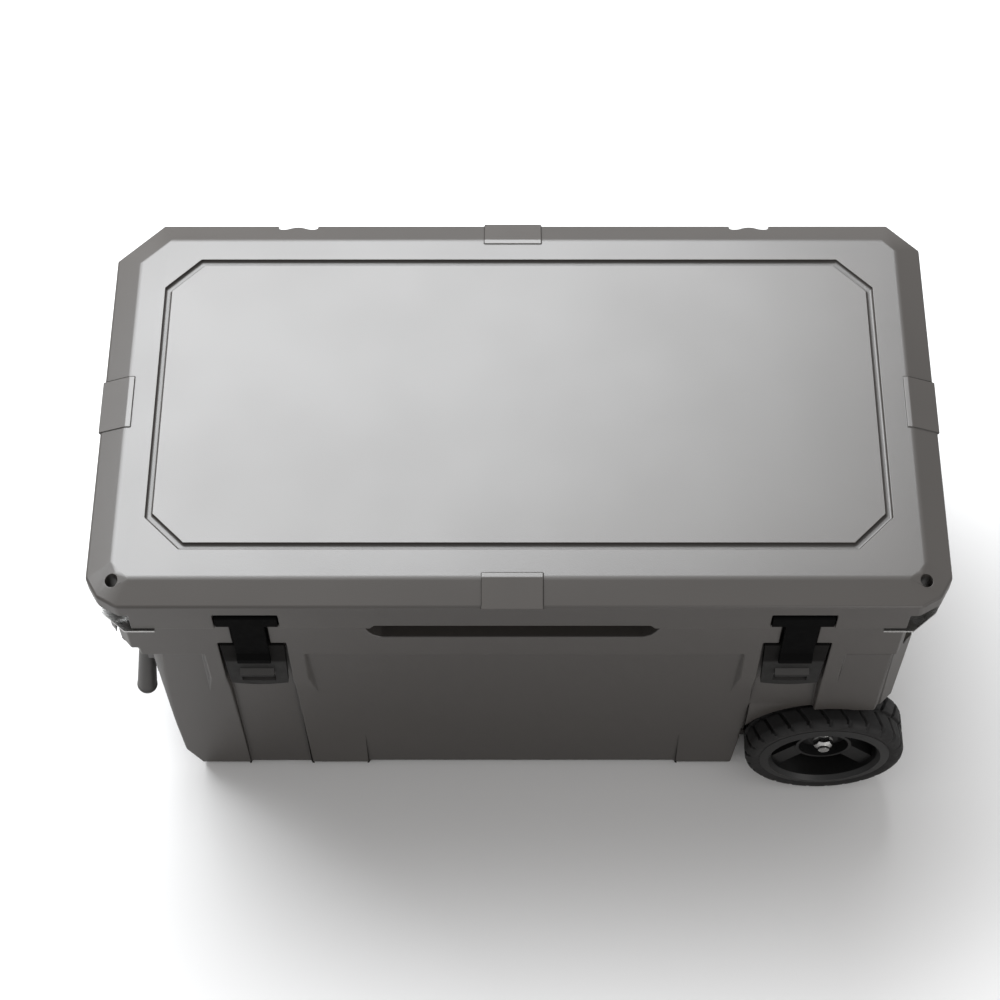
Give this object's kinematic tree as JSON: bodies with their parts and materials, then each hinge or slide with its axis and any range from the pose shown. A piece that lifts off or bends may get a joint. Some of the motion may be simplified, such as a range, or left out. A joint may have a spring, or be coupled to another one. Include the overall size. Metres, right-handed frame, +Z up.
{
  "type": "wheeled hard cooler",
  "caption": "Insulated hard cooler box with a hinged lid, rubber strap latches, a tow handle and wheels at one end.",
  "frame": {"origin": "centre of the footprint, on the floor", "axes": "+X along the length towards the wheels, -Y out of the front with the latches, +Z up"},
  "size_m": [0.974, 0.548, 0.507],
  "materials": {
    "shell_plastic": "satin",
    "foam": "matte",
    "liner_plastic": "satin",
    "black_rubber": "matte",
    "black_plastic": "satin",
    "bright_steel": "satin",
    "dark_steel": "satin",
    "handle_paint": "satin",
    "tyre_rubber": "matte",
    "bush_plastic": "satin",
    "hinge_plastic": "satin"
  },
  "bodies": {
    "tub": {"tub_shell": "shell_plastic", "tub_insulation": "foam", "tub_liner": "liner_plastic", "rubber_feet": "black_rubber", "drain_fitting": "black_plastic", "lock_plates": "bright_steel", "lock_plate_screws": "dark_steel", "hinge_leaves_tub": "hinge_plastic", "hinge_pins": "bright_steel", "hinge_screws_tub": "dark_steel", "axle_tube": "dark_steel", "axle": "bright_steel", "axle_collars": "black_plastic", "axle_washers": "bright_steel", "axle_nuts": "bright_steel", "handle_brackets": "hinge_plastic", "handle_bracket_screws": "dark_steel", "handle_pins": "dark_steel"},
    "lid": {"lid_shell": "shell_plastic", "lid_insulation": "foam", "lid_liner": "liner_plastic", "lid_gasket": "black_rubber", "hinge_leaves_lid": "hinge_plastic", "hinge_screws_lid": "dark_steel", "latch_pins": "bright_steel"},
    "latch_left": {"latch_strap_left": "black_rubber"},
    "latch_right": {"latch_strap_right": "black_rubber"},
    "wheel_front": {"wheel_rim_front": "black_plastic", "wheel_bush_front": "bush_plastic", "tyre_front": "tyre_rubber"},
    "wheel_rear": {"wheel_rim_rear": "black_plastic", "wheel_bush_rear": "bush_plastic", "tyre_rear": "tyre_rubber"},
    "tow_handle": {"handle_arm_front": "handle_paint", "handle_arm_rear": "handle_paint", "handle_bar": "bright_steel", "handle_grip": "black_plastic"},
    "drain_plug": {"drain_plug": "black_plastic", "drain_seal": "black_rubber"}
  },
  "joints": [
    {"name": "lid_hinge", "type": "hinge", "parent": "tub", "child": "lid", "pos_m": [0, 0.2545, 0.449], "axis": [-1, 0, 0], "range_deg": [0, 100]},
    {"name": "latch_left_swing", "type": "hinge", "parent": "lid", "child": "latch_left", "pos_m": [-0.307, -0.25, 0.458], "axis": [-1, 0, 0], "range_deg": [0, 100], "deforming": ["latch_strap_left"]},
    {"name": "latch_right_swing", "type": "hinge", "parent": "lid", "child": "latch_right", "pos_m": [0.32, -0.25, 0.458], "axis": [-1, 0, 0], "range_deg": [0, 100], "deforming": ["latch_strap_right"]},
    {"name": "wheel_front_spin", "type": "hinge", "parent": "tub", "child": "wheel_front", "pos_m": [0.383, -0.243, 0.099], "axis": [0, 1, 0], "continuous": true},
    {"name": "wheel_rear_spin", "type": "hinge", "parent": "tub", "child": "wheel_rear", "pos_m": [0.383, 0.243, 0.099], "axis": [0, 1, 0], "continuous": true},
    {"name": "tow_handle_swing", "type": "hinge", "parent": "tub", "child": "tow_handle", "pos_m": [-0.452, 0, 0.344], "axis": [0, 1, 0], "range_deg": [0, 95]},
    {"name": "drain_plug_pull", "type": "slide", "parent": "tub", "child": "drain_plug", "axis": [-1, 0, 0], "range_m": [0, 0.034]}
  ]
}
